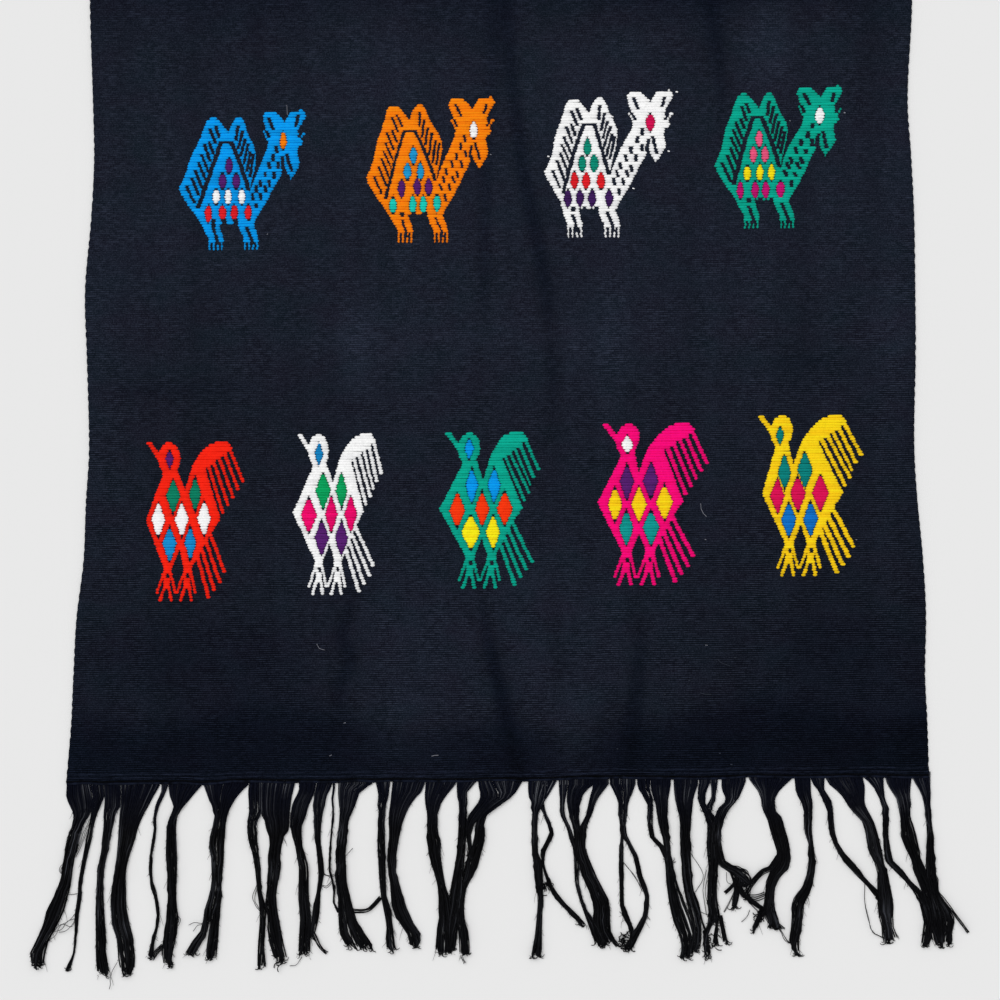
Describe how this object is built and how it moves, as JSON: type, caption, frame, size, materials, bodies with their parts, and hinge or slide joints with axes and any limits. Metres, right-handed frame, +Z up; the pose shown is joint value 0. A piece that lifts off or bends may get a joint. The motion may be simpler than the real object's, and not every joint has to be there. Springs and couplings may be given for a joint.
{
  "type": "woven table runner",
  "caption": "Long narrow hand-woven dark cotton table runner lying flat, with brightly inlaid beasts and birds at one end and loose locks of fringe at both.",
  "frame": {"origin": "middle of the cloth's underside, on the surface that it lies on", "axes": "+Z up out of the cloth's face, -Y towards the inlaid end with its fringe, +X to the right when that end is nearest"},
  "size_m": [0.4452, 1.5909, 0.0033],
  "materials": {
    "ground_cotton": "matt fine-ribbed plain weave, near-black navy",
    "fringe_cotton": "loose black cotton warp yarn, slightly frayed",
    "yarn_blue": "soft mercerised cotton inlay yarn, blue",
    "yarn_orange": "soft mercerised cotton inlay yarn, orange",
    "yarn_white": "soft mercerised cotton inlay yarn, white",
    "yarn_green": "soft mercerised cotton inlay yarn, green",
    "yarn_red": "soft mercerised cotton inlay yarn, red",
    "yarn_pink": "soft mercerised cotton inlay yarn, pink",
    "yarn_yellow": "soft mercerised cotton inlay yarn, yellow"
  },
  "bodies": {
    "root": {"ground_cloth": "ground_cotton", "near_fringe": "fringe_cotton", "far_fringe": "fringe_cotton", "blue_beast": "yarn_blue", "orange_beast": "yarn_orange", "white_beast": "yarn_white", "green_beast": "yarn_green", "red_bird": "yarn_red", "white_bird": "yarn_white", "green_bird": "yarn_green", "pink_bird": "yarn_pink", "yellow_bird": "yarn_yellow"}
  },
  "joints": []
}
